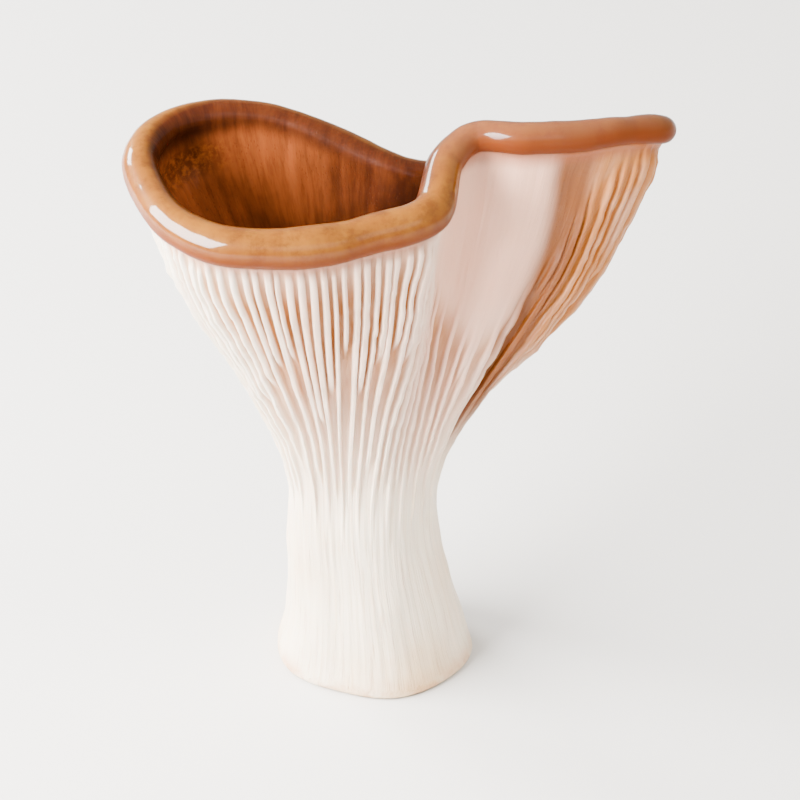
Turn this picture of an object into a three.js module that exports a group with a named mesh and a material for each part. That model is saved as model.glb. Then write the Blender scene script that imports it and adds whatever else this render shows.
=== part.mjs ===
// Giant funnel mushroom: one whole fruit body, as picked and cut off at the foot.
// A stout stem widens upwards into a deep, wavy funnel, and the funnel's edge is rolled outwards
// into a round bead. It grew as one piece, so it is one closed solid. It stands on its cut foot,
// with +Z up and the origin in the middle of its own box at the level of the cut.

import * as THREE from 'three';

// Driving dimensions, in millimetres.
const RIM_HEIGHT = 80; // from the cut foot to the rolled edge's middle line, on average
const MOUTH_WIDTH = 70; // across the middle line of the rolled edge, left to right
const MOUTH_DEPTH = 30.4; // across the same line, front to back
const EDGE_LIFT = 5; // one unit of the edge's rise and fall
const MOUTH_SHIFT_X = 5.5; // from the stem's top to the middle of the mouth
const MOUTH_SHIFT_Y = -1;
const BEAD_RADIUS = 2.45; // rolled edge, halfway across the mouth
const BEAD_TAPER = 0.35; // what the bead gains at the front and loses at the back
const FOLD_DEPTH = 1.8; // of an upright fold in the wall under the right end
const FLARE_START = 28; // height at which the stem begins to open into the funnel
const STEM_RADIUS = 10; // at the waist
const STEM_FLESH = 5; // from the outside to the hollow, where the funnel begins
const WAIST_HEIGHT = 25; // the stem's narrowest place
const FOOT_RADIUS = 13.5; // at the cut
const FOOT_ROUND = 0.9; // softened edge around the cut face
const FOOT_SHIFT_X = 1.6; // the foot's middle, from the stem's top: the stem bends a little
const FOOT_SHIFT_Y = 0.8;
const FLOOR_RISE = 11; // from where the stem begins to open up to the hollow's floor
const HOLLOW_ROUND = 15; // height over which the hollow closes to its floor

// Shape ratios.
const FLARE_STRAIGHTNESS = 0.35; // 0 meets the bead upright, 1 leans straight out to it
const FLARE_POWER = 1.6;
const FLARE_BULGE = 0.16; // how much further open the right end is, halfway up
const STEM_OVAL = 0.05; // the stem isn't quite round
const STEM_RIDGE = 0.022;
const FOLD_AT = 0.55; // where the fold is, as a share of the way round from the left end
const FOLD_WIDTH = 0.022; // in the same shares
const BEAD_START = -75; // degrees around the bead, from straight out, where the wall meets it
const BEAD_END = 162; // where the bead runs into the hollow's skin
const BEAD_CURL = 62; // how much further it rolls on at the left, which leaves a groove inside

// Facets.
const COLUMNS = 84;
const STEM_ROWS = 6;
const FLARE_ROWS = 9;
const BEAD_ROWS = 7;
const HOLLOW_ROWS = 8;
const FOOT_ROWS = 2;
const OUTLINE_SAMPLES = 2000;

// The edge's middle line, clockwise from the left end as seen from above: across and back are
// shares of half the mouth's width and depth, and lift is in units of EDGE_LIFT.
const EDGE_OUTLINE = [
  [-1.00, 0.12, 0.16],
  [-0.93, 0.57, 0.24],
  [-0.79, 0.79, 0.28],
  [-0.54, 0.89, 0.08],
  [-0.25, 0.75, -0.44],
  [0.04, 0.58, -1.16],
  [0.29, 0.81, -1.60],
  [0.61, 0.99, -1.40],
  [0.89, 0.91, -0.64],
  [1.00, 0.59, 0.24],
  [0.86, 0.34, 0.68],
  [0.68, 0.17, 0.80],
  [0.48, 0.09, 0.90],
  [0.28, 0.15, 0.80],
  [0.18, -0.07, 0.50],
  [0.11, -0.59, -0.20],
  [-0.10, -0.81, -0.40],
  [-0.39, -1.00, -0.50],
  [-0.69, -0.96, -0.44],
  [-0.85, -0.72, -0.30],
  [-0.96, -0.26, -0.10],
];

const { degToRad, lerp, smoothstep } = THREE.MathUtils;
const ring = Array.from({ length: COLUMNS }, (_, i) => i);

/** The rolled edge at each column: its middle line, its outward direction and its roll. */
function edgeColumns() {
  const points = EDGE_OUTLINE.map(([across, back, lift]) => new THREE.Vector3(
    MOUTH_SHIFT_X + (across * MOUTH_WIDTH) / 2,
    MOUTH_SHIFT_Y + (back * MOUTH_DEPTH) / 2,
    RIM_HEIGHT + lift * EDGE_LIFT,
  ));
  const curve = new THREE.CatmullRomCurve3(points, true, 'centripetal');
  curve.arcLengthDivisions = OUTLINE_SAMPLES;
  return ring.map((i) => {
    const middle = curve.getPointAt(i / COLUMNS);
    const along = curve.getTangentAt(i / COLUMNS);
    const across = (middle.x - MOUTH_SHIFT_X) / (MOUTH_WIDTH / 2);
    const back = (middle.y - MOUTH_SHIFT_Y) / (MOUTH_DEPTH / 2);
    return {
      middle,
      outward: new THREE.Vector3(-along.y, along.x, 0).normalize(),
      angle: Math.PI - (2 * Math.PI * i) / COLUMNS,
      bead: BEAD_RADIUS - BEAD_TAPER * back,
      end: degToRad(BEAD_END + BEAD_CURL * smoothstep(-across, 0.5, 0.95)),
      bulge: FLARE_BULGE * smoothstep(across, 0, 0.9),
      fold: FOLD_DEPTH * Math.exp(-(((i / COLUMNS - FOLD_AT) / FOLD_WIDTH) ** 2)),
    };
  });
}

/** A point of the rolled edge, at an angle around its middle line. */
function onBead(column, turn) {
  return column.middle.clone()
    .addScaledVector(column.outward, column.bead * Math.cos(turn))
    .setZ(column.middle.z + column.bead * Math.sin(turn));
}

/** The stem's middle at a height: it bends from the foot to the flare. */
function stemMiddle(height) {
  const bend = 0.5 + 0.5 * Math.cos(Math.PI * Math.min(height / FLARE_START, 1));
  return new THREE.Vector3(FOOT_SHIFT_X * bend, FOOT_SHIFT_Y * bend, height);
}

/** The stem's outside at a column and a height: a waist, a wider foot and slight ridges. */
function onStem(column, height) {
  const below = Math.max(WAIST_HEIGHT - height, 0) / WAIST_HEIGHT;
  const turn = column.angle;
  const radius = lerp(STEM_RADIUS, FOOT_RADIUS, below ** 2)
    * (1 + STEM_OVAL * Math.cos(2 * turn + 0.7) + STEM_RIDGE * Math.cos(5 * turn + 0.4));
  return stemMiddle(height).add(
    new THREE.Vector3(radius * Math.cos(turn), radius * Math.sin(turn), 0),
  );
}

/** How far the funnel has opened, from 0 at the stem to 1 at the bead, by share of its height. */
function opened(column, share) {
  const rounded = 0.5 - 0.5 * Math.cos(Math.PI * share);
  const bulge = column.bulge * Math.sin(Math.PI * share) ** 2;
  return lerp(rounded, share ** FLARE_POWER, FLARE_STRAIGHTNESS) + bulge;
}

/** A point of the funnel's outside, from the stem at share 0 to the bead at share 1. */
function onOutside(column, share) {
  const top = onBead(column, degToRad(BEAD_START));
  const height = lerp(FLARE_START, top.z, share);
  const fold = column.fold * Math.sin(Math.PI * share) ** 0.7;
  return onStem(column, height).lerp(top.setZ(height), opened(column, share))
    .addScaledVector(column.outward, -fold);
}

/** A point of the hollow's skin, from its floor at share 0 to the bead at share 1. */
function onInside(column, share) {
  const top = onBead(column, column.end);
  const floor = FLARE_START + FLOOR_RISE;
  const height = lerp(floor, top.z, share);
  const middle = stemMiddle(height);
  const core = onStem(column, height).sub(middle);
  core.setLength(core.length() - STEM_FLESH);
  const rise = Math.min((height - floor) / HOLLOW_ROUND, 1);
  const closing = Math.sqrt(1 - (1 - rise) ** 2);
  const spread = opened(column, (height - FLARE_START) / (top.z - FLARE_START));
  return top.setZ(height).sub(middle).lerp(core, 1 - spread).multiplyScalar(closing).add(middle);
}

/** Shares from just above 0 up to and with 1, closer together towards 0. */
function sharesFromFloor(count) {
  return Array.from({ length: count }, (_, i) => ((i + 1) / count) ** 1.5);
}

/** Rings of points, from the middle of the cut face round to the floor of the hollow. */
function mushroomRings(columns) {
  const rings = [];
  const add = (place) => rings.push(columns.map(place));
  for (let i = 0; i <= FOOT_ROWS; i += 1) {
    const turn = (Math.PI / 2) * (i / FOOT_ROWS);
    const height = FOOT_ROUND * (1 - Math.cos(turn));
    const inset = FOOT_ROUND * (1 - Math.sin(turn));
    add((column) => {
      const middle = stemMiddle(height);
      const radial = onStem(column, height).sub(middle);
      return radial.setLength(radial.length() - inset).add(middle);
    });
  }
  for (let i = 1; i <= STEM_ROWS; i += 1) {
    add((column) => onStem(column, lerp(FOOT_ROUND, FLARE_START, i / STEM_ROWS)));
  }
  for (let i = 1; i <= FLARE_ROWS; i += 1) {
    add((column) => onOutside(column, i / FLARE_ROWS));
  }
  for (let i = 1; i <= BEAD_ROWS; i += 1) {
    add((column) => onBead(column, lerp(degToRad(BEAD_START), column.end, i / BEAD_ROWS)));
  }
  for (const share of sharesFromFloor(HOLLOW_ROWS).reverse().slice(1)) {
    add((column) => onInside(column, share));
  }
  return rings;
}

/** One closed solid from rings of equal length: a fan at each end and quads between the rings. */
function solidFromRings(rings, first, last) {
  const points = [first, ...rings.flat(), last];
  const at = (row, column) => 1 + row * COLUMNS + (column % COLUMNS);
  const faces = [];
  for (const i of ring) {
    faces.push(0, at(0, i), at(0, i + 1));
    for (let row = 0; row + 1 < rings.length; row += 1) {
      faces.push(at(row, i), at(row + 1, i), at(row + 1, i + 1));
      faces.push(at(row, i), at(row + 1, i + 1), at(row, i + 1));
    }
    faces.push(points.length - 1, at(rings.length - 1, i + 1), at(rings.length - 1, i));
  }
  const geometry = new THREE.BufferGeometry().setFromPoints(points);
  geometry.setIndex(faces);
  return geometry;
}

/** Moves a solid so that the middle of its box is over the origin and its foot is at zero. */
function standAtOrigin(geometry) {
  geometry.computeBoundingBox();
  const { min, max } = geometry.boundingBox;
  return geometry.translate(-(min.x + max.x) / 2, -(min.y + max.y) / 2, -min.z);
}

/** The whole fruit body. */
function mushroomGeometry() {
  const rings = mushroomRings(edgeColumns());
  const foot = stemMiddle(0);
  const floor = stemMiddle(FLARE_START + FLOOR_RISE);
  const geometry = standAtOrigin(solidFromRings(rings, foot, floor));
  geometry.computeVertexNormals();
  return geometry;
}

const mushroom = new THREE.Mesh(
  mushroomGeometry(),
  new THREE.MeshStandardMaterial({ color: 0xc08a5c, roughness: 0.45, metalness: 0 }),
);
mushroom.name = 'mushroom';

const group = new THREE.Group();
group.add(mushroom);

export default group;
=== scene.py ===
"""A giant funnel mushroom, whole, standing on its cut foot in soft studio light.

The fruit body is one closed surface. It runs from the middle of the cut foot up the fibrous stem,
over the gills on the outside of a deep, wavy funnel, round the rolled edge, and down the wet brown
skin of the hollow to its floor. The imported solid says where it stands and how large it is.
"""

import logging
import math
from dataclasses import dataclass, field
from enum import Enum

import bpy
import numpy as np
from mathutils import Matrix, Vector


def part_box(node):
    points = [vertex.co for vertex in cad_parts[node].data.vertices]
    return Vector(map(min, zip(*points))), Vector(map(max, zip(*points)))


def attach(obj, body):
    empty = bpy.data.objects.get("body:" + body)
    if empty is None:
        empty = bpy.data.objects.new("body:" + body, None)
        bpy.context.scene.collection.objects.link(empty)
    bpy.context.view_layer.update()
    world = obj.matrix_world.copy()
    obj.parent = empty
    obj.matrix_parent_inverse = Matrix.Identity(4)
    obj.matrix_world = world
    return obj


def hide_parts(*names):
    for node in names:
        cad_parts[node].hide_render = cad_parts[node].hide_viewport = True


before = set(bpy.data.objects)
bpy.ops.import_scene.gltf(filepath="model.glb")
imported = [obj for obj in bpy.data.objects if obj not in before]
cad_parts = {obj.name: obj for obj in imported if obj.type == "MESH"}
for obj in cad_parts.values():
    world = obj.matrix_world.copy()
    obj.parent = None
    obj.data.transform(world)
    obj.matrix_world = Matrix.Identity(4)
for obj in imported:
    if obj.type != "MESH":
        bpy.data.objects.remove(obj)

log = logging.getLogger("funnel_mushroom")

MM = 0.001  # metres
CM = 10.0  # millimetres
NODE = "mushroom"
BODY = "root"

Field = np.ndarray  # one number, or one point, for each spot of a grid


# ---- Numbers over a grid ----


def ease(value: Field, low: float, high: float) -> Field:
    """Rises smoothly from 0 at low to 1 at high.

    Args:
        value: What is eased, of any shape.
        low: Where the rise starts. It may be above high, and the step then falls.
        high: Where the rise ends.

    Returns:
        3s² - 2s³, where s is the clipped share of the way from low to high.
    """
    share = np.clip((value - low) / (high - low), 0.0, 1.0)
    return share * share * (3.0 - 2.0 * share)


def between(start: Field, end: Field, share: Field) -> Field:
    """The point or number that lies a share of the way from start to end."""
    return start + (end - start) * share


@dataclass(frozen=True)
class Stretch:
    """A stretch of the way round the mouth, which starts at the left end and goes by the back."""

    middle: float
    half: float  # half of the length that lies fully inside
    soft: float  # over which it fades out at each end

    def at(self, around: Field) -> Field:
        """1 inside the stretch, 0 outside, and a smooth step between."""
        apart = np.abs((around - self.middle + 0.5) % 1.0 - 0.5)
        return 1.0 - ease(apart, self.half, self.half + self.soft)


PAINTED_LIGHT_SIDE = Stretch(0.04, 0.09, 0.09)  # of the hollow, the side where light is painted in
BACK = Stretch(0.26, 0.17, 0.10)
END_WALL = Stretch(0.475, 0.055, 0.03)  # round the end of the lobe, where a golden tone is painted for its shade
LOBE_END = Stretch(0.476, 0.008, 0.014)
# where orange shade is painted down the fold
FOLD_SHADE_BAND = Stretch(0.546, 0.008, 0.019)
LOBE_BEAD = Stretch(0.56, 0.05, 0.05)
LOBE = Stretch(0.575, 0.065, 0.07)
SMOOTH_WALL = Stretch(0.61, 0.06, 0.06)
# the front, where bounce light is painted pink
FRONT = Stretch(0.70, 0.12, 0.10)
LEFT_END = Stretch(0.985, 0.075, 0.05)


@dataclass(frozen=True)
class Ripples:
    """Natural unevenness: a seeded sum of plane waves of about one length."""

    length: float
    seed: int
    waves: int = 14

    def at(self, points: Field) -> Field:
        """The unevenness at each point.

        Args:
            points: Points of any dimension, in the same unit as length.

        Returns:
            The sum over the waves of sin(heading · point · 2π / length + phase), with each wave's
            own heading, length and phase, scaled to lie mostly between -1 and 1.
        """
        draw = np.random.default_rng(self.seed)
        heading = draw.normal(size=(self.waves, points.shape[-1]))
        heading /= np.linalg.norm(heading, axis=1, keepdims=True)
        pitch = 2.0 * np.pi / (self.length * draw.uniform(0.7, 1.5, self.waves))
        phase = draw.uniform(0.0, 2.0 * np.pi, self.waves)
        waves = np.sin(points @ (heading * pitch[:, None]).T + phase)
        return waves.sum(axis=-1) * 0.5 * math.sqrt(2.0 / self.waves)


# ---- The form of the fruit body ----


@dataclass(frozen=True)
class EdgeLine:
    """The middle line of the rolled edge, a closed curve through listed points.

    The points go clockwise from the left end as seen from above: across and back as shares of
    half the mouth's width and depth, and lift in units of the edge's rise and fall.
    """

    width: float = 70.0
    depth: float = 30.4
    lift: float = 5.0
    shift: tuple[float, float] = (5.5, -1.0)
    height: float = 80.0
    steps: int = 120
    outline: tuple[tuple[float, float, float], ...] = (
        (-1.00, 0.12, 0.16), (-0.93, 0.57, 0.24), (-0.79, 0.79, 0.28), (-0.54, 0.89, 0.08),
        (-0.25, 0.75, -0.44), (0.04, 0.58, -1.16), (0.29, 0.81, -1.60), (0.61, 0.99, -1.40),
        (0.89, 0.91, -0.64), (1.00, 0.59, 0.24), (0.86, 0.34, 0.68), (0.68, 0.17, 0.80),
        (0.48, 0.09, 0.90), (0.28, 0.15, 0.80), (0.18, -0.07, 0.50), (0.11, -0.59, -0.20),
        (-0.10, -0.81, -0.40), (-0.39, -1.00, -0.50), (-0.69, -0.96, -0.44),
        (-0.85, -0.72, -0.30), (-0.96, -0.26, -0.10),
    )

    def walk(self) -> tuple[Field, Field]:
        """The curve in small steps.

        Returns:
            The points of a centripetal Catmull-Rom curve, in millimetres and closed on itself,
            and each one's share of the whole length. Between two outline points the curve is the
            cubic p + m·t + (3q - 3p - 2m - n)·t² + (2p - 2q + m + n)·t³, where the slopes m and n
            come from the neighbours, with knots the square root of their distance apart.
        """
        halves = np.array([self.width / 2, self.depth / 2, self.lift])
        here = np.array(self.outline) * halves + np.array([*self.shift, self.height])
        before, after, beyond = (np.roll(here, k, axis=0) for k in (1, -1, -2))
        knots = [np.sqrt(np.linalg.norm(b - a, axis=1))[:, None]
                 for a, b in ((before, here), (here, after), (after, beyond))]
        k0, k1, k2 = knots
        m = ((here - before) / k0 - (after - before) / (k0 + k1) + (after - here) / k1) * k1
        n = ((after - here) / k1 - (beyond - here) / (k1 + k2) + (beyond - after) / k2) * k1
        t = np.linspace(0.0, 1.0, self.steps, endpoint=False)[None, :, None]
        square = (3 * after - 3 * here - 2 * m - n)[:, None] * t**2
        cube = (2 * here - 2 * after + m + n)[:, None] * t**3
        line = (here[:, None] + m[:, None] * t + square + cube).reshape(-1, 3)
        line = np.vstack([line, line[:1]])
        walked = np.concatenate([[0.0], np.cumsum(np.linalg.norm(np.diff(line, axis=0), axis=1))])
        return line, walked / walked[-1]


@dataclass(frozen=True)
class Columns:
    """What each spot of the edge says about the strip of surface that hangs from it."""

    around: Field  # share of the way round
    middle: Field  # point of the edge's middle line
    outward: Field  # level direction away from the mouth
    bead: Field  # radius of the rolled edge
    roll_end: Field  # angle at which the bead runs into the hollow
    bulge: Field  # how much fuller the funnel is here
    fold: Field  # depth of the upright fold


@dataclass(frozen=True)
class FunnelForm:
    """The fruit body's sizes, in millimetres, and its surface as functions of two parameters."""

    edge: EdgeLine = EdgeLine()
    bead_radius: float = 2.45
    bead_taper: float = 0.35
    bead_uneven: float = 0.035
    lobe_thinner: float = 0.09
    fold_depth: float = 1.8
    fold_at: float = 0.55
    fold_width: float = 0.022
    bead_ripples: Ripples = Ripples(11.0, 3)
    tangent_step: float = 1.0 / 900.0  # share of the way round
    flare_start: float = 28.0
    flare_straightness: float = 0.35
    flare_power: float = 1.6
    flare_bulge: float = 0.16
    stem_radius: float = 10.0
    stem_flesh: float = 5.0
    stem_oval: float = 0.05
    stem_ridge: float = 0.022
    waist_height: float = 25.0
    foot_radius: float = 13.5
    foot_round: float = 0.9
    foot_shift: tuple[float, float] = (1.6, 0.8)
    floor_rise: float = 11.0
    hollow_round: float = 15.0
    roll_start: float = -75.0  # degrees around the bead from straight out
    roll_end: float = 162.0
    roll_curl: float = 62.0

    @property
    def floor_height(self) -> float:
        """Height of the hollow's floor."""
        return self.flare_start + self.floor_rise

    def columns(self, around: Field) -> Columns:
        """Reads the edge at any places on the way round.

        Args:
            around: Shares of the way round, of any shape.

        Returns:
            The edge's values there. The outward direction is the curve's level tangent, turned a
            quarter to the left of the walk.
        """
        line, shares = self.edge.walk()
        step = self.tangent_step

        def point(share: Field) -> Field:
            """The middle line at these shares."""
            return np.stack([np.interp(share % 1.0, shares, line[:, k]) for k in range(3)], -1)

        middle = point(around)
        along = point(around + step) - point(around - step)
        outward = np.stack([-along[..., 1], along[..., 0], 0.0 * along[..., 0]], -1)
        outward /= np.linalg.norm(outward, axis=-1, keepdims=True)
        across = (middle[..., 0] - self.edge.shift[0]) / (self.edge.width / 2)
        back = (middle[..., 1] - self.edge.shift[1]) / (self.edge.depth / 2)
        swell = 1.0 + self.bead_uneven * self.bead_ripples.at(middle)
        swell = swell - self.lobe_thinner * LOBE_BEAD.at(around)
        left = ease(-across, 0.5, 0.95)
        return Columns(
            around=around,
            middle=middle,
            outward=outward,
            bead=(self.bead_radius - self.bead_taper * back) * swell,
            roll_end=np.radians(self.roll_end + self.roll_curl * left),
            bulge=self.flare_bulge * ease(across, 0.0, 0.9),
            fold=self.fold_depth * np.exp(-(((around - self.fold_at) / self.fold_width) ** 2)),
        )

    def on_bead(self, columns: Columns, turn: Field) -> Field:
        """A point of the rolled edge: middle + radius · (outward · cos turn + up · sin turn)."""
        reach = columns.bead * np.cos(turn)
        point = columns.middle + columns.outward * reach[..., None]
        point[..., 2] = columns.middle[..., 2] + columns.bead * np.sin(turn)
        return point

    def stem_middle(self, height: Field) -> Field:
        """The stem's middle: the foot's shift fades out along half a cosine up to the flare."""
        bend = 0.5 + 0.5 * np.cos(np.pi * np.minimum(height / self.flare_start, 1.0))
        return np.stack([self.foot_shift[0] * bend, self.foot_shift[1] * bend, height], -1)

    def stem_reach(self, columns: Columns, height: Field) -> Field:
        """From the stem's middle straight out to its skin.

        Args:
            columns: The columns asked for.
            height: Height of each point.

        Returns:
            A level vector at the column's angle. Its length is the waist's radius, widened by the
            square of the way down to the foot, times a slight oval and five slight ridges.
        """
        below = np.maximum(self.waist_height - height, 0.0) / self.waist_height
        turn = np.pi - 2.0 * np.pi * columns.around
        uneven = (1.0 + self.stem_oval * np.cos(2.0 * turn + 0.7)
                  + self.stem_ridge * np.cos(5.0 * turn + 0.4))
        radius = between(self.stem_radius, self.foot_radius, below**2) * uneven
        return np.stack([radius * np.cos(turn), radius * np.sin(turn), 0.0 * radius], -1)

    def opened(self, columns: Columns, share: Field) -> Field:
        """How far the funnel has opened.

        Args:
            columns: The columns asked for.
            share: Share of the flare's height, from 0 at the stem to 1 at the bead.

        Returns:
            0 at the stem to 1 at the bead: half a cosine mixed with a power of the share, plus a
            squared sine where this side of the funnel is fuller.
        """
        share = np.maximum(share, 0.0)
        rounded = 0.5 - 0.5 * np.cos(np.pi * share)
        bulge = columns.bulge * np.sin(np.pi * share) ** 2
        return between(rounded, share**self.flare_power, self.flare_straightness) + bulge

    def on_outside(self, columns: Columns, share: Field) -> Field:
        """The funnel's outside.

        Args:
            columns: The columns asked for.
            share: 0 where the stem begins to open and 1 under the bead. Below 0 it is the stem.

        Returns:
            The stem's skin blended into the point under the bead by how far the funnel has
            opened, and pushed in along the upright fold.
        """
        top = self.on_bead(columns, np.full_like(columns.bead, math.radians(self.roll_start)))
        height = between(self.flare_start, top[..., 2], share)
        stem = self.stem_middle(height) + self.stem_reach(columns, height)
        top[..., 2] = height
        fold = columns.fold * np.sin(np.pi * np.clip(share, 0.0, 1.0)) ** 0.7
        place = between(stem, top, self.opened(columns, share)[..., None])
        return place - columns.outward * fold[..., None]

    def on_inside(self, columns: Columns, share: Field) -> Field:
        """The hollow's skin.

        Args:
            columns: The columns asked for.
            share: 0 at the hollow's floor and 1 where the bead begins.

        Returns:
            The outside's blend with the flesh taken off the stem, drawn in to the middle line
            over the last stretch by the height of a circle's arc.
        """
        top = self.on_bead(columns, columns.roll_end)
        height = between(self.floor_height, top[..., 2], share)
        middle = self.stem_middle(height)
        core = self.stem_reach(columns, height)
        length = np.linalg.norm(core, axis=-1, keepdims=True)
        core = core * (length - self.stem_flesh) / length
        rise = np.minimum((height - self.floor_height) / self.hollow_round, 1.0)
        closing = np.sqrt(1.0 - (1.0 - rise) ** 2)
        flare = (height - self.flare_start) / (top[..., 2] - self.flare_start)
        top[..., 2] = height
        reach = between(core, top - middle, self.opened(columns, flare)[..., None])
        return middle + reach * closing[..., None]


# ---- The gills ----


@dataclass(frozen=True)
class Gills:
    """Thin plates that run from under the rolled edge down the funnel and onto the stem.

    Every fourth gill reaches the stem, the one midway between two of those stops partway, and the
    rest are short ones near the edge. Lengths along the funnel are shares of the flare's height.
    """

    count: int = 116
    depth: float = 0.95
    crest_half: float = 0.29
    root_half: float = 0.56
    jitter: float = 0.17
    wobble: float = 0.16
    trace: float = 0.16
    sway_length: float = 2.2  # on a cylinder with the next two as its radius and height
    sway_radius: float = 6.0
    sway_height: float = 7.0
    fade: float = 0.05  # length of a gill's upper end, and how much longer it is by the lobe
    lobe_fade: float = 0.22
    top_jitter: float = 0.035
    thinner_below: float = 0.62
    widths: tuple[float, float] = (0.78, 1.2)  # range of the plates' own thickness
    seed: int = 11
    tops: tuple[tuple[float, float], ...] = (
        (0.00, 1.012), (0.51, 1.012), (0.535, 0.97), (0.548, 0.80), (0.562, 0.62), (0.60, 0.62),
        (0.64, 0.72), (0.67, 0.84), (0.70, 0.97), (0.72, 1.012), (1.00, 1.012),
    )  # on the way round, and where the gills end below the edge
    ranks: tuple[tuple[float, float], ...] = (
        (-0.13, 0.12), (0.34, 0.34), (0.06, 0.2), (0.34, 0.34),
    )  # for each of four gills in turn, its lowest possible end and the range above that
    phases: tuple[float, ...] = (-0.5, -0.37, -0.27, -0.17, 0.0, 0.17, 0.27, 0.37)

    def crests(self) -> Field:
        """Place of each gill on the way round, evenly spaced with a little jitter."""
        draw = np.random.default_rng(self.seed)
        return (np.arange(self.count) + draw.uniform(-1, 1, self.count) * self.jitter) / self.count

    def lows(self) -> Field:
        """Where each gill ends below, by its rank."""
        draw = np.random.default_rng(self.seed + 1)
        low, span = np.array(self.ranks)[np.arange(self.count) % len(self.ranks)].T
        return low + span * draw.random(self.count)

    def columns_around(self) -> Field:
        """The columns of the gilled band, closer together at the sides of each plate.

        Returns:
            For each gill and phase, the gill's place plus the phase's share of the way to the
            border with its neighbour, where a border lies halfway between two gills.
        """
        here = self.crests()
        before = np.roll(here, 1)
        before[0] -= 1.0
        after = np.roll(here, -1)
        after[-1] += 1.0
        phase = np.array(self.phases)[None, :]
        down, up = (here - before)[:, None], (after - here)[:, None]
        return (here[:, None] + np.where(phase < 0, phase * down, phase * up)).ravel()

    def upper_end(self, around: Field) -> Field:
        """Where the gills begin under the edge: close below it, and lower down by the lobe."""
        places, tops = np.array(self.tops).T
        return np.interp(around % 1.0, places, tops)

    def sway(self, around: Field, share: Field) -> Field:
        """How far the gills sway sideways, as a share of the way round."""
        angle = 2.0 * np.pi * around
        radius = self.sway_radius
        spots = np.stack(
            [radius * np.cos(angle), radius * np.sin(angle), self.sway_height * share], -1)
        return Ripples(self.sway_length, self.seed + 2).at(spots) * self.wobble / self.count

    def plates(self, around: Field, share: Field, girth: Field) -> tuple[Field, Field]:
        """How high the plates stand.

        Args:
            around: Place on the way round, before any sway.
            share: Share of the flare's height.
            girth: Millimetres once round at each spot.

        Returns:
            How much of a plate each spot has, from 0 in a gap to 1 on a crest, and how gilled the
            surface is there at all. A plate falls off smoothly with the distance from its crest.
        """
        crests, lows = self.crests(), self.lows()
        draw = np.random.default_rng(self.seed + 3)
        shorter = self.top_jitter * draw.random(self.count)
        width = draw.uniform(*self.widths, self.count)
        cell = np.floor(around * self.count + 0.5).astype(int)
        plate = np.zeros_like(around)
        thick = between(self.thinner_below, 1.0, ease(share, 0.1, 0.75))
        top = self.upper_end(around)
        for step in (-1, 0, 1):
            gill = (cell + step) % self.count
            apart = np.abs((around - crests[gill] + 0.5) % 1.0 - 0.5) * girth / (thick * width[gill])
            one = 1.0 - ease(apart, self.crest_half, self.root_half)
            end = top - shorter[gill]
            started = ease(share, lows[gill] - 0.05, lows[gill] + 0.07)
            plate = np.maximum(plate, one * started * self.reaching(around, share, end))
        gilled = self.reaching(around, share, top) * ease(share, -0.16, 0.16)
        return plate * gilled, gilled

    def reaching(self, around: Field, share: Field, end: Field) -> Field:
        """How much of a gill is left near its upper end.

        Args:
            around: Place on the way round.
            share: Share of the flare's height.
            end: Where the gill ends above.

        Returns:
            1 below the end and 0 above it. By the lobe the step is long, and a faint trace of
            every gill goes on to the edge.
        """
        slow = SMOOTH_WALL.at(around)
        trace = self.trace * slow * ease(share, 0.995, 0.95)
        return np.maximum(ease(share, end, end - self.fade - self.lobe_fade * slow), trace)


# ---- The closed surface ----


def placed(name: str, data: bpy.types.ID) -> bpy.types.Object:
    """A new object in the scene, at the origin."""
    thing = bpy.data.objects.new(name, data)
    bpy.context.scene.collection.objects.link(thing)
    return thing


@dataclass
class Band:
    """Rings of points, with marks that say what the surface is like at each point."""

    points: Field
    marks: dict[str, Field]


def band_normals(points: Field) -> Field:
    """Directions straight out of a band's surface.

    Args:
        points: Rows of points that close on themselves.

    Returns:
        The unit cross product of the step to the next row and the step to the next column.
    """
    row = np.gradient(points, axis=0)
    column = np.roll(points, -1, axis=1) - np.roll(points, 1, axis=1)
    normal = np.cross(row, column)
    return normal / np.maximum(np.linalg.norm(normal, axis=-1, keepdims=True), 1e-12)


def stitch(lower: Field, upper: Field) -> list[list[int]]:
    """Faces between two rings.

    Args:
        lower: Vertex numbers of the earlier ring.
        upper: Those of the later ring, as many, or a whole number of times more or fewer.

    Returns:
        Quads between equal rings. Otherwise a fan of triangles from each vertex of the coarse
        ring to the fine edges nearest it, and one triangle for each edge of the coarse ring.
    """
    if len(lower) == len(upper):
        return np.stack([lower, upper, np.roll(upper, -1), np.roll(lower, -1)], 1).tolist()
    rising = len(lower) < len(upper)
    coarse, fine = (lower, upper) if rising else (upper, lower)
    ratio = len(fine) // len(coarse)
    own = coarse[((np.arange(len(fine)) + ratio // 2) // ratio) % len(coarse)]
    mid = fine[np.arange(len(coarse)) * ratio + ratio // 2]
    fine_next, coarse_next = np.roll(fine, -1), np.roll(coarse, -1)
    if rising:
        fans = np.stack([own, fine, fine_next], 1)
        gaps = np.stack([coarse, mid, coarse_next], 1)
    else:
        fans = np.stack([fine, own, fine_next], 1)
        gaps = np.stack([mid, coarse, coarse_next], 1)
    return fans.tolist() + gaps.tolist()


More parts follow.
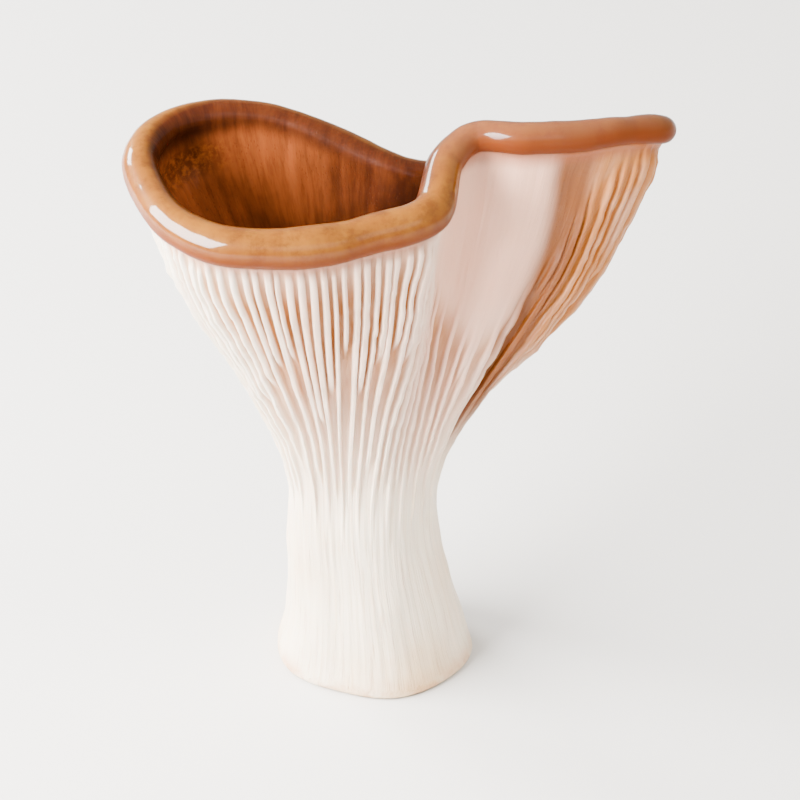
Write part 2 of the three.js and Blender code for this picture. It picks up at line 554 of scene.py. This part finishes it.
def closed_mesh(name: str, bands: list[Band], poles: tuple[Field, Field]) -> bpy.types.Mesh:
    """One closed mesh from bands of rings.

    Args:
        name: The mesh's name.
        bands: The bands in order, in millimetres.
        poles: The single points that close the first ring and the last.

    Returns:
        The mesh in metres, smooth, with one vertex attribute for each mark.
    """
    points = [poles[0][None]] + [band.points.reshape(-1, 3) for band in bands] + [poles[1][None]]
    rings, start = [], 1
    for band in bands:
        rows, columns = band.points.shape[:2]
        rings += [start + row * columns + np.arange(columns) for row in range(rows)]
        start += rows * columns
    first, last = rings[0], rings[-1]
    faces = np.stack([np.zeros_like(first), first, np.roll(first, -1)], 1).tolist()
    for lower, upper in zip(rings, rings[1:]):
        faces += stitch(lower, upper)
    faces += np.stack([np.full_like(last, start), np.roll(last, -1), last], 1).tolist()
    mesh = bpy.data.meshes.new(name)
    mesh.from_pydata(np.concatenate(points) * MM, [], faces)
    for mark, sample in bands[0].marks.items():
        width = sample.shape[2:]
        rows = [band.marks[mark].reshape((-1, *width)) for band in bands]
        values = np.concatenate([rows[0][:1], *rows, rows[-1][-1:]]).astype(np.float32)
        kind, key = ("FLOAT_VECTOR", "vector") if width else ("FLOAT", "value")
        mesh.attributes.new(mark, kind, "POINT").data.foreach_set(key, values.ravel())
    mesh.shade_smooth()
    mesh.validate()
    return mesh


class Mark(Enum):
    """The vertex attributes that the finish reads."""

    SKIN = "skin"  # millimetres along the surface past the rolled edge's underside
    CREST = "crest"  # on a gill's crest
    GAP = "gap"  # between two gills, where shade is painted
    DEPTH = "depth"  # 0 at the rolled edge, 1 on the hollow's floor
    RISE = "rise"  # height on the outside, 1 at the rolled edge
    LOBE = "lobe"  # on the narrow lobe of the mouth
    PAINTED_BOUNCE = "blush"  # on the pinkish front, where bounce light is painted
    FOLD_SHADE = "fold_shade"  # where orange shade is painted, down the fold
    END_SHADE = "end_shade"  # golden tone painted on the end wall past the fold, for its shade
    PAINTED_LIGHT = "warm"  # the hollow's side painted lighter and more orange: painted light
    GROOVE = "groove"  # in the groove inside the left end of the rolled edge
    ROLL = "roll"  # on the round of the rolled edge
    GRAIN = "grain"  # a point that runs with the fibres, in centimetres


ALL_FLESH, ALL_SKIN = -60.0, 30.0  # millimetres of the skin mark, far from the skin's border


@dataclass
class Mushroom:
    """The whole fruit body: its bands, its marks and its one mesh."""

    form: FunnelForm = field(default_factory=FunnelForm)
    gills: Gills = field(default_factory=Gills)
    face_rings: tuple[float, ...] = (0.12, 0.3, 0.5, 0.7, 0.86, 0.95)  # on the cut face
    foot_rows: int = 5
    stem_rows: int = 30
    gill_rows: int = 64
    gill_start: float = -0.16  # share of the flare's height at which the gilled band begins
    bead_rows: int = 14
    hollow_rows: int = 34
    hollow_closer: float = 1.15  # above 1, rows lie closer together towards the floor
    stem_coarser: int = 4  # gilled columns to one of the stem's
    skin_coarser: int = 2
    grain_radius: float = 2.8
    groove_depth: float = 0.45
    groove_foot: tuple[float, float] = (0.83, 0.88)  # shares of the hollow's height, out to in
    groove_head: tuple[float, float] = (0.97, 0.93)
    edge_depth: float = 0.02  # depth mark where the edge ends and the hollow begins
    hollow_length: float = 4.5  # centimetres of fibre
    end_reach: int = 6  # columns to each side over which the lobe's tight end is rounded
    fold_shade_lean: float = 0.03  # share of the way round, over the flare's height
    end_turns: tuple[float, float] = (85.0, 145.0)  # degrees on the bead where that sets in
    skin_starts: tuple[float, float] = (86.0, 150.0)  # degrees on the bead where tan turns brown
    back_earlier: tuple[float, float] = (28.0, 46.0)  # degrees by which it turns sooner at the back
    sunk_gaps: float = 0.62  # how deep the gaps are cut in, as a share of a plate's height
    lump: float = 0.28
    fibre: float = 0.10
    lumps: Ripples = Ripples(13.0, 21)
    small_lumps: Ripples = Ripples(4.5, 22)
    fibres: Ripples = Ripples(0.9, 23, 20)
    ragged: Ripples = Ripples(2.5, 31)
    frayed: Ripples = Ripples(0.9, 32)
    pits: Ripples = Ripples(1.6, 51)

    def marks(self, around: Field, along: Field, **given: Field) -> dict[str, Field]:
        """All marks of a band.

        Args:
            around: Place on the way round.
            along: Place along the fibres, in centimetres. On the outside it is the height.
            **given: The marks that this band sets, by attribute name.

        Returns:
            A value for every mark: what is given, what follows from the place, and else 0. The
            grain is a point on a cylinder, so that fibres close on themselves all the way round.
        """
        angle = 2.0 * np.pi * around
        radius = self.grain_radius
        grain = np.stack([radius * np.cos(angle), radius * np.sin(angle), along], -1)
        marks = {mark.value: np.zeros_like(around) for mark in Mark}
        marks.update(
            skin=np.full_like(around, ALL_FLESH), lobe=LOBE.at(around), blush=FRONT.at(around),
            warm=PAINTED_LIGHT_SIDE.at(around), grain=grain,
        )
        return {**marks, **given}

    def roughened(self, points: Field, marks: dict[str, Field], lump: Field, fibre: Field) -> Field:
        """Moves a band's points along its normals by lumps and by ridges along the fibres."""
        lumps = self.lumps.at(points) + 0.35 * self.small_lumps.at(points)
        fibres = self.fibres.at(marks[Mark.GRAIN.value] * np.array([4.0, 4.0, 0.35]))
        away = lump * lumps + fibre * fibres
        return points + band_normals(points) * away[..., None]

    def rounded_end(self, points: Field, around: Field, share: Field) -> Field:
        """Rounds the crease that the hollow would have in the tight end of the lobe.

        Args:
            points: Rows of points that close on themselves.
            around: Place of each point on the way round.
            share: How much of the rounding each point takes.

        Returns:
            The points, moved towards the mean of their neighbours on the same row near that end.
        """
        reach = range(-self.end_reach, self.end_reach + 1)
        mean = np.mean([np.roll(points, step, axis=1) for step in reach], axis=0)
        return between(points, mean, (LOBE_END.at(around) * share)[..., None])

    def foot_band(self, around: Field) -> Band:
        """The cut face and its softened edge."""
        form = self.form
        face = np.array(self.face_rings)
        turns = np.linspace(0.0, np.pi / 2, self.foot_rows)
        height = np.concatenate([0.0 * face, form.foot_round * (1 - np.cos(turns))])
        inset = np.concatenate([0.0 * face + form.foot_round, form.foot_round * (1 - np.sin(turns))])
        share = np.concatenate([face, np.ones_like(turns)])
        grid, level = np.broadcast_arrays(around[None, :], height[:, None])
        columns = form.columns(grid)
        reach = form.stem_reach(columns, level)
        length = np.linalg.norm(reach, axis=-1, keepdims=True)
        reach = reach * (1.0 - inset[:, None, None] / length) * share[:, None, None]
        points = form.stem_middle(level) + reach
        return Band(points, self.marks(grid, (share[:, None] - 2.0) + 0.0 * grid))

    def stem_band(self, around: Field) -> Band:
        """The stem, from the softened foot up to where the gills begin to show."""
        form = self.form
        share = np.linspace(0.0, 1.0, self.stem_rows + 1)[1:-1]
        grid = np.broadcast_to(around, (len(share), len(around)))
        end = self.gilled_grid(grid, np.full_like(grid, self.gill_start))[..., 2]
        height = between(form.foot_round, end, share[:, None])
        columns = form.columns(grid)
        points = form.stem_middle(height) + form.stem_reach(columns, height)
        marks = self.marks(grid, height / CM, rise=height / form.edge.height)
        fade = ease(share, 0.0, 0.2)[:, None]
        return Band(self.roughened(points, marks, self.lump * fade, self.fibre * fade), marks)

    def gilled_grid(self, around: Field, share: Field) -> Field:
        """The funnel's outside at these places, before the gills stand out of it."""
        return self.form.on_outside(self.form.columns(around), share)

    def gill_band(self, around: Field) -> Band:
        """The outside of the funnel, with every gill a real plate."""
        form, gills = self.form, self.gills
        share = between(self.gill_start, 1.0, np.linspace(0.0, 1.0, self.gill_rows + 1))
        place, height_share = np.broadcast_arrays(around[None, :], share[:, None])
        swayed = place + gills.sway(place, height_share) * ease(height_share, 1.0, 0.9)
        points = self.gilled_grid(swayed, height_share)
        steps = np.linalg.norm(np.roll(points, -1, axis=1) - points, axis=-1)
        girth = np.broadcast_to(steps.sum(axis=1, keepdims=True), steps.shape)
        plate, gilled = gills.plates(place, height_share, girth)
        marks = self.marks(
            swayed, points[..., 2] / CM, rise=points[..., 2] / form.edge.height,
            crest=plate, gap=gilled - plate, fold_shade=self.fold_shaded(place, height_share),
            end_shade=END_WALL.at(place) * ease(height_share, 0.05, 0.5),
            skin=(height_share - 1.0) * (form.edge.height - form.flare_start),
        )
        bare = 1.0 - 0.7 * gilled
        fade = ease(height_share, 1.0, 0.93)
        points = self.roughened(points, marks, self.lump * fade, self.fibre * bare * fade)
        shallower = 1.0 - 0.3 * ease(height_share, 0.7, 1.0)
        depth = gills.depth * ease(height_share, -0.25, 0.45) * shallower
        ragged = 1.0 + 0.14 * self.ragged.at(points) + 0.10 * self.frayed.at(points)
        away = depth * (plate * ragged - self.sunk_gaps * gilled)
        return Band(points + band_normals(points) * away[..., None], marks)

    def fold_shaded(self, around: Field, share: Field) -> Field:
        """How much orange shade is painted on the flesh, in a band that leans as it runs down the fold.
        """
        upright = around - self.fold_shade_lean * (share - 0.8)
        return FOLD_SHADE_BAND.at(upright) * ease(share, 0.0, 0.35)

    def bead_band(self, around: Field) -> Band:
        """The rolled edge, from under its outside over the top into the hollow."""
        form = self.form
        share = np.linspace(0.0, 1.0, self.bead_rows + 2)[1:-1]
        grid, turned = np.broadcast_arrays(around[None, :], share[:, None])
        columns = form.columns(grid)
        start = math.radians(form.roll_start)
        turn = between(start, columns.roll_end, turned)
        inward = ease(turn, *np.radians(self.end_turns))
        points = self.rounded_end(form.on_bead(columns, turn), grid, inward)
        first, last = (np.radians(start_at - sooner * BACK.at(grid))
                       for start_at, sooner in zip(self.skin_starts, self.back_earlier))
        inner = ease(turn, first, last)
        marks = self.marks(
            grid, form.edge.height / CM + turned,
            skin=(turn - start) * columns.bead, rise=np.ones_like(grid),
            roll=1.0 - inner, depth=self.edge_depth * inner,
        )
        ends = ease(share, 0.0, 0.15)[:, None]
        lump, fibre = 0.55 * self.lump * ends, 0.2 * self.fibre * ends
        return Band(self.roughened(points, marks, lump, fibre), marks)

    def hollow_band(self, around: Field) -> Band:
        """The skin of the hollow, down to its floor."""
        form = self.form
        share = (1.0 - np.linspace(0.0, 1.0, self.hollow_rows + 1)[:-1]) ** self.hollow_closer
        grid, height_share = np.broadcast_arrays(around[None, :], share[:, None])
        points = form.on_inside(form.columns(grid), height_share)
        points = self.rounded_end(points, grid, np.ones_like(grid))
        down = 1.0 - height_share
        groove = ease(height_share, *self.groove_foot) * ease(height_share, *self.groove_head)
        marks = self.marks(
            grid, form.edge.height / CM + 1.0 + self.hollow_length * down,
            skin=np.full_like(grid, ALL_SKIN), rise=np.ones_like(grid),
            depth=between(self.edge_depth, 1.0, down), groove=LEFT_END.at(grid) * groove,
        )
        fade = ease(height_share, 0.02, 0.25) * ease(height_share, 1.0, 0.9)
        points = self.roughened(points, marks, self.lump * fade, self.fibre * fade)
        cut = self.groove_depth * marks[Mark.GROOVE.value] * (1.0 + 0.5 * self.pits.at(points))
        return Band(points - band_normals(points) * cut[..., None], marks)

    def build(self, box: tuple[Vector, Vector]) -> bpy.types.Object:
        """Makes the fruit body.

        Args:
            box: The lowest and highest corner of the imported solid, in metres.

        Returns:
            The object, at the origin and in place in its mesh: the edge line's own outermost
            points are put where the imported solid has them.
        """
        around = self.gills.columns_around()
        stem, skin = around[:: self.stem_coarser], around[:: self.skin_coarser]
        bands = [self.foot_band(stem), self.stem_band(stem), self.gill_band(around),
                 self.bead_band(skin), self.hollow_band(skin)]
        poles = (self.form.stem_middle(np.array(0.0)),
                 self.form.stem_middle(np.array(self.form.floor_height)))
        shift = self.shift_into(box)
        for band in bands:
            band.points += shift
        mesh = closed_mesh("giant_funnel_mushroom", bands, (poles[0] + shift, poles[1] + shift))
        piece = placed("giant_funnel_mushroom", mesh)
        log.info("%s: %d vertices, %d faces", piece.name, len(mesh.vertices), len(mesh.polygons))
        return piece

    def shift_into(self, box: tuple[Vector, Vector]) -> Field:
        """The level move, in millimetres, from the stem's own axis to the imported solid's place."""
        columns = self.form.columns(np.linspace(0.0, 1.0, 2000, endpoint=False))
        rim = self.form.on_bead(columns, np.zeros_like(columns.bead))
        middle = (rim.min(axis=0) + rim.max(axis=0)) / 2
        placed = (np.array(box[0]) + np.array(box[1])) / 2 / MM
        return np.array([placed[0] - middle[0], placed[1] - middle[1], 0.0])


# ---- Shader expressions ----


def tint(code: str) -> tuple[float, float, float, float]:
    """A colour as light, from its everyday six-figure code."""
    shades = [int(code[k:k + 2], 16) / 255 for k in (0, 2, 4)]
    light = [s / 12.92 if s <= 0.04045 else ((s + 0.055) / 1.055) ** 2.4 for s in shades]
    return (*light, 1.0)


class Wire:
    """A shader socket that takes part in Python sums: each one adds its Math node."""

    def __init__(self, graph: "Graph", socket: bpy.types.NodeSocket) -> None:
        """Holds the socket and the graph that it belongs to."""
        self.graph = graph
        self.socket = socket

    def _math(self, operation: str, *values: "Wire | float") -> "Wire":
        """One Math node on these values."""
        return self.graph.add("ShaderNodeMath", {"operation": operation}, dict(enumerate(values)))

    def __add__(self, other: "Wire | float") -> "Wire":
        """self + other."""
        return self._math("ADD", self, other)

    def __sub__(self, other: "Wire | float") -> "Wire":
        """self - other."""
        return self._math("SUBTRACT", self, other)

    def __rsub__(self, other: float) -> "Wire":
        """other - self."""
        return self._math("SUBTRACT", other, self)

    def __mul__(self, other: "Wire | float") -> "Wire":
        """self times other."""
        return self._math("MULTIPLY", self, other)

    def clipped(self) -> "Wire":
        """self kept between 0 and 1."""
        return self.graph.add("ShaderNodeClamp", {}, {"Value": self})

    def eased(self, low: float, high: float) -> "Wire":
        """A smooth step: 0 below low, 1 above high."""
        return self.graph.add(
            "ShaderNodeMapRange", {"interpolation_type": "SMOOTHSTEP"},
            {"Value": self, "From Min": low, "From Max": high},
        )


class Graph:
    """A material's nodes, added by one method and joined by the values handed to it."""

    def __init__(self, name: str) -> None:
        """Starts a material with no nodes."""
        self.material = bpy.data.materials.new(name)
        self.material.use_nodes = True
        self.tree = self.material.node_tree
        self.tree.nodes.clear()

    def add(self, kind: str, settings: dict, inputs: dict, out: int | str = 0) -> Wire:
        """Adds a node.

        Args:
            kind: The node's type.
            settings: Its settings, set first.
            inputs: A value or a wire for each socket, by name or number.
            out: Which output is returned.

        Returns:
            The output, as a wire.
        """
        node = self.tree.nodes.new(kind)
        for key, value in settings.items():
            setattr(node, key, value)
        for key, value in inputs.items():
            if isinstance(value, Wire):
                self.tree.links.new(value.socket, node.inputs[key])
            else:
                node.inputs[key].default_value = value
        return Wire(self, node.outputs[out]) if node.outputs else Wire(self, None)

    def mark(self, mark: Mark) -> Wire:
        """A mark of the surface: its number, or its point if it is the grain."""
        out = "Vector" if mark is Mark.GRAIN else "Fac"
        return self.add("ShaderNodeAttribute", {"attribute_name": mark.value}, {}, out)

    def marks(self, *marks: Mark) -> list[Wire]:
        """Several marks of the surface."""
        return [self.mark(mark) for mark in marks]

    def layered(self, base: Wire | str, *layers: tuple[Wire, Wire | str]) -> Wire:
        """Colours laid over a base in turn.

        Args:
            base: The lowest colour. Every colour is a wire or a code.
            *layers: Each further colour, after the share of it that is laid on, from 0 to 1.

        Returns:
            The mixed colour.
        """
        settings = {"data_type": "RGBA", "clamp_factor": True}
        for share, over in layers:
            below, above = (tint(end) if isinstance(end, str) else end for end in (base, over))
            base = self.add("ShaderNodeMix", settings, {0: share, 6: below, 7: above}, 2)
        return base

    def drawn_out(self, grain: Wire, along: float) -> Wire:
        """The grain with the way along the fibres scaled. Below 1 it makes a pattern longer."""
        inputs = {0: grain, 1: (1.0, 1.0, along)}
        return self.add("ShaderNodeVectorMath", {"operation": "MULTIPLY"}, inputs)

    def noise(self, where: Wire, scale: float, detail: float = 3.0, rough: float = 0.55,
              warp: float = 0.0) -> Wire:
        """Soft noise from 0 to 1."""
        inputs = {"Vector": where, "Scale": scale, "Detail": detail, "Roughness": rough,
                  "Distortion": warp}
        return self.add("ShaderNodeTexNoise", {}, inputs)

    def cells(self, where: Wire, scale: float) -> Wire:
        """Distance to the nearest of scattered spots."""
        return self.add("ShaderNodeTexVoronoi", {}, {"Vector": where, "Scale": scale})

    def bump(self, height: Wire, distance: float, strength: float) -> Wire:
        """A normal bent by a height from 0 to 1, which stands for a distance in metres."""
        inputs = {"Height": height, "Distance": distance, "Strength": strength}
        return self.add("ShaderNodeBump", {}, inputs)

    def finish(self, shader: Wire) -> bpy.types.Material:
        """Joins a shader to the output and hands back the material."""
        self.add("ShaderNodeOutputMaterial", {}, {"Surface": shader})
        return self.material


# ---- Finishes ----


@dataclass(frozen=True)
class WetSkin:
    """The brown skin of the hollow and the rolled edge, under a film of water."""

    tan: str = "7E4E12"
    tan_warm: str = "6C3E0D"
    tan_dark: str = "4A2608"
    # painted shade on the rolled edge's underside
    underside_shade: str = "5F2604"
    brown: str = "321408"
    # orange of the hollow's streaks, also the painted light on one side of the hollow
    amber: str = "7A3D1A"
    # dark brown of threads and blots, also the painted shade deep in the hollow
    dark: str = "261008"
    plum: str = "663A29"
    # dark brown flecks and dots, also the painted shade in the groove under the edge's overhang
    fleck_and_groove_shade: str = "3E1A08"
    # painted glints in the groove
    painted_glint: str = "8E4C18"
    roughness: float = 0.36
    coat_roughness: float = 0.07

    def shader(self, graph: Graph, where: Wire) -> Wire:
        """The skin's shader.

        Args:
            graph: The material's nodes.
            where: Object coordinates.

        Returns:
            A shader whose colour goes from mottled tan on the roll, plum on the lobe, to brown streaks
            that run down the hollow, with fine dark flecks in rows and a wet coat. It also carries
            painted shade, deeper in the hollow, under the rolled edge and in the groove at its left
            end, painted light on one side of the hollow, and painted glints in that groove.
        """
        grain, depth, roll, lobe, groove = graph.marks(
            Mark.GRAIN, Mark.DEPTH, Mark.ROLL, Mark.LOBE, Mark.GROOVE)
        inside = 1.0 - roll
        streak = graph.noise(graph.drawn_out(grain, 0.22), 3.4, detail=5.0, rough=0.62, warp=0.4)
        thread = graph.noise(graph.drawn_out(grain, 0.13), 15.0, detail=4.0, rough=0.62, warp=0.25)
        pores = graph.noise(graph.drawn_out(grain, 0.5), 22.0)
        patch = graph.noise(where, 55.0, detail=2.0)
        blot = graph.noise(where, 130.0, detail=4.0, rough=0.6)
        mottle = graph.noise(where, 330.0, detail=5.0, rough=0.68).eased(0.42, 0.70)
        flecked = graph.noise(where, 1100.0, detail=4.0, rough=0.65).eased(0.42, 0.70)
        dots = graph.cells(graph.drawn_out(grain, 0.45), 24.0)
        dotted = (1.0 - dots.eased(0.10, 0.30)) * patch.eased(0.35, 0.6) * inside
        # Painted light: the side of the hollow that lies in shade is painted lighter and more orange,
        # and takes less painted shade.
        warm = graph.mark(Mark.PAINTED_LIGHT) * depth.eased(0.02, 0.08)
        amber = streak.eased(0.34, 0.66) * 0.25 + warm * (blot * 0.5 + 0.55)
        hollow = graph.layered(
            self.brown, (amber.clipped(), self.amber),
            (thread.eased(0.42, 0.70) * 0.32, self.dark),
            (blot.eased(0.46, 0.72) * 0.40, self.dark),
            # painted shade: darker deeper in the hollow, less so on the side with painted light
            (depth.eased(0.15, 0.95) * (0.6 - warm * 0.3), self.dark),
            (dotted * 0.5, self.fleck_and_groove_shade),
        )
        blotch = (patch * 0.6 + streak * 0.4).eased(0.38, 0.62)
        rolled = graph.layered(
            self.tan, (blotch, self.tan_warm), (mottle * 0.62, self.tan_dark), (lobe * 0.65, self.plum))
        past = graph.mark(Mark.SKIN) + patch * 1.2 - 0.6
        colour = graph.layered(
            hollow, (roll, rolled),
            # painted shade on the underside of the rolled edge
            ((1.0 - past.eased(2.2, 5.8)) * 0.9, self.underside_shade),
            # in the groove: dark flecks, which also paint the shade under the edge's overhang
            (groove * (1.0 - flecked) * 0.75, self.fleck_and_groove_shade),
            # painted glints in the groove
            (groove * flecked * 0.45, self.painted_glint),
        )
        height = (streak * 0.5 + pores * 0.3 + thread * 0.35 - dotted * 0.35) * (inside * 0.8 + 0.2)
        height = height + graph.noise(where, 380.0, detail=2.0) * 0.18
        height = height + graph.noise(where, 950.0) * 0.10
        wet = graph.noise(where, 140.0, detail=2.0).eased(0.25, 0.5) * 0.25 + 0.75
        wet = wet * past.eased(2.6, 5.0) * (roll * 0.7 + 0.3) * (1.0 - groove * 0.6)
        return graph.add("ShaderNodeBsdfPrincipled", {}, {
            "Base Color": colour,
            "Roughness": patch * 0.16 + (self.roughness - 0.08),
            "Subsurface Weight": 0.12,
            "Subsurface Radius": (1.0, 0.35, 0.12),
            "Subsurface Scale": 0.4 * MM,
            "Coat Weight": wet,
            "Coat Roughness": self.coat_roughness,
            "Coat IOR": 1.45,
            "Specular IOR Level": 0.05,
            "Normal": graph.bump(height, 0.15 * MM, 0.7),
        })


@dataclass(frozen=True)
class PaleFlesh:
    """The pale flesh of the stem, the gills and the smooth wall under the edge."""

    cream: str = "F3E6D4"
    warm_white: str = "EAD5C0"
    # painted pink of bounce light, for the front and the lobe's wall
    blush: str = "DCA68C"
    # tan between the gills, painted deeper for the shade in the gaps
    gap: str = "9A5A14"
    # paler tan of the gaps' painted shade, also the crumbled cut face
    gap_pale: str = "BD7F3E"
    # painted orange shade of the fold
    fold_shade: str = "763D02"
    # painted shade on the flesh just under the rolled edge
    underside_shade: str = "8E4416"
    straw: str = "DDBA80"
    # deep straw of torn fibres, also painted as the end wall's shade
    straw_deep_and_end_shade: str = "A8641A"
    roughness: float = 0.46

    def shader(self, graph: Graph, where: Wire) -> Wire:
        """The flesh's shader.

        Args:
            graph: The material's nodes.
            where: Object coordinates.

        Returns:
            A translucent shader: cream with faint pink of painted bounce light and straw fibres, tan
                between the gills with painted shade in the gaps and painted light on the crests,
                painted orange shade where the wall folds in, a golden tone painted for the shade of the
                end wall past the fold, and painted shade under the rolled edge.
        """
        grain, gap, crest, rise, lobe, blush, fold_shade, end_shade, past = graph.marks(
            Mark.GRAIN, Mark.GAP, Mark.CREST, Mark.RISE, Mark.LOBE, Mark.PAINTED_BOUNCE, Mark.FOLD_SHADE,
            Mark.END_SHADE, Mark.SKIN)
        fibre = graph.noise(graph.drawn_out(grain, 0.07), 13.0, detail=4.0, rough=0.6, warp=0.3)
        torn = graph.noise(graph.drawn_out(grain, 0.16), 7.0, detail=5.0, rough=0.65).eased(0.54, 0.74)
        uneven = graph.noise(graph.drawn_out(grain, 0.3), 4.0).eased(0.25, 0.6)
        cloud = graph.noise(where, 60.0)
        aged = graph.noise(where, 38.0, detail=4.0).eased(0.45, 0.72) * 0.5 + 0.18
        crumbled = graph.noise(where, 260.0, detail=4.0).eased(0.35, 0.65)
        low = 1.0 - rise.eased(0.15, 0.65)
        cut = (1.0 - rise.eased(0.0, 0.05)) * crumbled
        # Painted bounce light: a pink glow on the front and on the lobe's wall, higher up.
        pink = (lobe * 0.45 + blush * 0.5) * rise.eased(0.3, 0.8)
        # Painted shade in the gaps between the gills, deeper where the fold's shade, the end wall's
        # shade and the bounce are painted.
        deep = (fold_shade + end_shade + blush) * (uneven * 0.6 + 0.5)
        gapped = gap.eased(0.2, 0.85) * rise.eased(0.36, 0.80) * (uneven * 0.25 + 0.75)
        gapped = gapped * (1.0 - past.eased(-9.0, -1.0) * 0.4)
        # Painted light: the gills' crests are kept paler than their gaps.
        pale = crest * (1.0 - fold_shade) * (1.0 - blush) * (1.0 - end_shade)
        colour = graph.layered(
            self.cream, (cloud.eased(0.35, 0.7) * 0.5, self.warm_white),
            (fibre.eased(0.5, 0.75) * 0.42, self.straw),
            (aged * low, self.straw),
            (torn * low * 0.34, self.straw_deep_and_end_shade),
            (cut * 0.6, self.gap_pale),
            # painted bounce light
            (pink, self.blush),
            # painted shade between the gills, over their tan
            (gapped, graph.layered(self.gap_pale, (deep.clipped(), self.gap))),
            # painted shade: a golden tone on the end wall past the fold
            (end_shade * (uneven * 0.25 + 0.72), self.straw_deep_and_end_shade),
            # painted orange shade down the fold
            (fold_shade * (uneven * 0.06 + 0.94), self.fold_shade),
            # painted light on the gills' crests
            (pale * 0.4, self.cream),
            # painted shade on the flesh under the rolled edge
            (past.eased(-2.8, 0.0) * 0.8, self.underside_shade),
        )
        height = fibre * 0.7 + torn * 0.4 + graph.noise(where, 1400.0, detail=2.0) * 0.25
        return graph.add("ShaderNodeBsdfPrincipled", {}, {
            "Base Color": colour,
            "Roughness": cloud * 0.2 + (self.roughness - 0.1),
            "Subsurface Weight": 0.2,
            "Subsurface Radius": (1.0, 0.55, 0.35),
            "Subsurface Scale": 0.5 * MM,
            "Coat Weight": 0.06,
            "Coat Roughness": 0.2,
            "Specular IOR Level": 0.3,
            "Normal": graph.bump(height, 0.16 * MM, 0.9),
        })


def mushroom_finish(skin: WetSkin, flesh: PaleFlesh) -> bpy.types.Material:
    """The fruit body's one material: flesh, with skin wherever the skin mark says so."""
    graph = Graph("mushroom_flesh_and_skin")
    where = graph.add("ShaderNodeTexCoord", {}, {}, "Object")
    past = graph.mark(Mark.SKIN) + graph.noise(where, 220.0, detail=2.0) * 0.8 - 0.4
    share = past.eased(0.0, 0.5)
    inputs = {0: share, 1: flesh.shader(graph, where), 2: skin.shader(graph, where)}
    return graph.finish(graph.add("ShaderNodeMixShader", {}, inputs))


@dataclass(frozen=True)
class FloorPaint:
    """A plain, pale, matt floor."""

    colour: str = "CFCECC"
    roughness: float = 0.7

    def material(self) -> bpy.types.Material:
        """The floor's material."""
        graph = Graph("pale_floor")
        inputs = {"Base Color": tint(self.colour), "Roughness": self.roughness}
        return graph.finish(graph.add("ShaderNodeBsdfPrincipled", {}, inputs))


# ---- Studio ----


def aimed(name: str, data: bpy.types.ID, target: Vector, away: Vector,
          distance: float) -> bpy.types.Object:
    """A new lamp or camera that faces the target, from a distance along the unit vector away."""
    thing = placed(name, data)
    thing.location = target + away * distance
    thing.rotation_euler = away.to_track_quat("Z", "Y").to_euler()
    return thing


@dataclass(frozen=True)
class Softbox:
    """A rectangular lamp that faces the mushroom."""

    name: str
    direction: tuple[float, float, float]  # from the mushroom towards the lamp
    distance: float
    size: tuple[float, float]
    power: float
    colour: tuple[float, float, float] = (1.0, 1.0, 1.0)
    lights: bool = True  # falls on matt surfaces
    shines: bool = True  # is seen in glossy ones

    def place(self, target: Vector) -> None:
        """Puts the lamp in the scene, aimed at the target."""
        lamp = bpy.data.lights.new(self.name, "AREA")
        lamp.shape, lamp.energy, lamp.color = "RECTANGLE", self.power, self.colour
        lamp.size, lamp.size_y = self.size
        holder = aimed(self.name, lamp, target, Vector(self.direction).normalized(), self.distance)
        holder.visible_diffuse, holder.visible_glossy = self.lights, self.shines


@dataclass(frozen=True)
class Studio:
    """Floor, light and camera."""

    elevation: float = 34.0
    lens: float = 262.0
    distance: float = 0.80
    floor_size: float = 6.0
    floor_gap: float = 0.1 * MM  # below the foot, so that the two faces don't flicker
    sky: tuple[float, float, float] = (0.96, 0.98, 1.0)
    sky_strength: float = 0.62
    lamps: tuple[Softbox, ...] = (
        Softbox("key_softbox", (-0.80, -0.26, 0.53), 0.50, (0.58, 0.18), 28.0, (1.0, 0.97, 0.93),
                shines=False),
        Softbox("gloss_card", (-0.79, -0.30, 0.53), 0.50, (0.66, 0.38), 50.0, lights=False),
        Softbox("kicker", (-0.68, 0.59, 0.44), 0.60, (0.22, 0.16), 6.5, (1.0, 0.98, 0.96)),
        Softbox("front_fill", (0.25, -0.80, 0.55), 0.90, (0.60, 0.40), 1.0, (1.0, 0.92, 0.88)),
        Softbox("hollow_fill", (0.50, -0.20, 0.84), 0.60, (0.30, 0.30), 4.5, (1.0, 0.92, 0.82),
                shines=False),
    )

    def build(self, low: Vector, high: Vector) -> None:
        """Sets the stage around the mushroom.

        Args:
            low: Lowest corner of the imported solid.
            high: Its highest corner.
        """
        half, level = self.floor_size / 2, low.z - self.floor_gap
        corner_signs = ((-1, -1), (1, -1), (1, 1), (-1, 1))
        square = [(half * across, half * back, level) for across, back in corner_signs]
        mesh = bpy.data.meshes.new("floor")
        mesh.from_pydata(square, [], [(0, 1, 2, 3)])
        floor = placed("floor", mesh)
        mesh.materials.append(FloorPaint().material())
        middle = (low + high) / 2
        for lamp in self.lamps:
            lamp.place(middle)
        world = bpy.data.worlds.new("studio_sky")
        world.use_nodes = True
        sky = world.node_tree.nodes["Background"]
        sky.inputs["Color"].default_value = (*self.sky, 1.0)
        sky.inputs["Strength"].default_value = self.sky_strength
        bpy.context.scene.world = world
        self.aim_camera(middle)

    def aim_camera(self, target: Vector) -> None:
        """The camera, level across and looking down at the mouth."""
        lens = bpy.data.cameras.new("camera")
        lens.lens, lens.clip_start, lens.clip_end = self.lens, 0.01, 20.0
        turn = math.radians(self.elevation)
        away = Vector((0.0, -math.cos(turn), math.sin(turn)))
        bpy.context.scene.camera = aimed("camera", lens, target, away, self.distance)


def main() -> None:
    """Builds the mushroom and its studio."""
    logging.basicConfig(level=logging.INFO, format="%(name)s: %(message)s")
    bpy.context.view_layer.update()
    low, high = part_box(NODE)
    mushroom = Mushroom().build((low, high))
    mushroom.data.materials.append(mushroom_finish(WetSkin(), PaleFlesh()))
    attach(mushroom, BODY)
    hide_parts(NODE)
    Studio().build(low, high)


if __name__ == "__main__":
    main()
